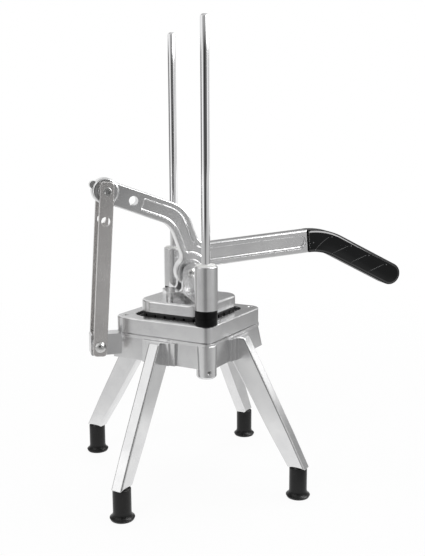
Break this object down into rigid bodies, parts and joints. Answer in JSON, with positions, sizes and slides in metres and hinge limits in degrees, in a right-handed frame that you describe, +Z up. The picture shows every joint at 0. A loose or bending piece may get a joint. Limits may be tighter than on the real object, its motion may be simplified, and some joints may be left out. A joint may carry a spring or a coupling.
{
  "type": "french fry cutter",
  "caption": "Bench-top potato fry cutter: a square cast body on spread legs, a blade grid, and a pusher on two guide rods driven down by a hand lever and link bars.",
  "frame": {"origin": "on the surface the feet stand on, below the middle of the overall box", "axes": "+X along the lever towards its grip, +Y from the front guide rod to the back one, +Z up"},
  "size_m": [0.3854, 0.2274, 0.5246],
  "materials": {
    "cast_aluminium": "polished casting, satin",
    "chrome_rod": "ground and chromed",
    "blade_steel": "ground stainless strip",
    "link_steel": "drawn flat bar, satin",
    "fastener_steel": "plated",
    "black_rubber": "smooth black rubber",
    "black_grip": "glossy dipped vinyl",
    "dark_plastic": "dark moulded",
    "white_bush": "natural nylon"
  },
  "bodies": {
    "root": {"base_casting": "cast_aluminium", "blade_frame": "cast_aluminium", "blade_pins": "blade_steel", "blades_lower": "blade_steel", "blades_upper": "blade_steel", "bumper_back": "black_rubber", "bumper_front": "black_rubber", "frame_screw_left": "fastener_steel", "frame_screw_right": "fastener_steel", "guide_rod_back": "chrome_rod", "guide_rod_front": "chrome_rod", "leg_back_left": "cast_aluminium", "leg_back_right": "cast_aluminium", "leg_bolts": "fastener_steel", "leg_front_left": "cast_aluminium", "leg_front_right": "cast_aluminium", "lower_pivot_bolt": "fastener_steel", "lower_pivot_nut": "fastener_steel", "rod_set_screw_back": "fastener_steel", "rod_set_screw_front": "fastener_steel", "rubber_foot_back_left": "black_rubber", "rubber_foot_back_right": "black_rubber", "rubber_foot_front_left": "black_rubber", "rubber_foot_front_right": "black_rubber"},
    "head": {"head_bushing_back": "white_bush", "head_bushing_front": "white_bush", "pusher_head": "cast_aluminium", "pusher_plate": "cast_aluminium", "finger_block": "dark_plastic", "pusher_screws": "fastener_steel", "lever_pivot_bolt": "fastener_steel", "lever_pivot_nut": "fastener_steel"},
    "lever": {"lever": "cast_aluminium", "lever_hub_bush": "white_bush", "lever_link_bush": "white_bush", "grip": "black_grip"},
    "link": {"link_bar_near": "link_steel", "link_bar_far": "link_steel", "upper_pivot_screw": "fastener_steel", "upper_pivot_nut": "fastener_steel"}
  },
  "joints": [
    {"name": "head_slide", "type": "slide", "parent": "root", "child": "head", "axis": [0, 0, 1], "range_m": [0, 0.15]},
    {"name": "lever_swing", "type": "hinge", "parent": "head", "child": "lever", "pos_m": [-0.07549, 0, 0.2475], "axis": [0, -1, 0], "range_deg": [0, 69.1]},
    {"name": "link_swing", "type": "hinge", "parent": "root", "child": "link", "pos_m": [-0.18339, 0, 0.1685], "axis": [0, -1, 0], "range_deg": [0, 9.1]}
  ],
  "couplings": [
    {"joint": "lever_swing", "follows": "head_slide", "rad_per_m": 8.0334},
    {"joint": "link_swing", "follows": "head_slide", "rad_per_m": 1.0473}
  ]
}
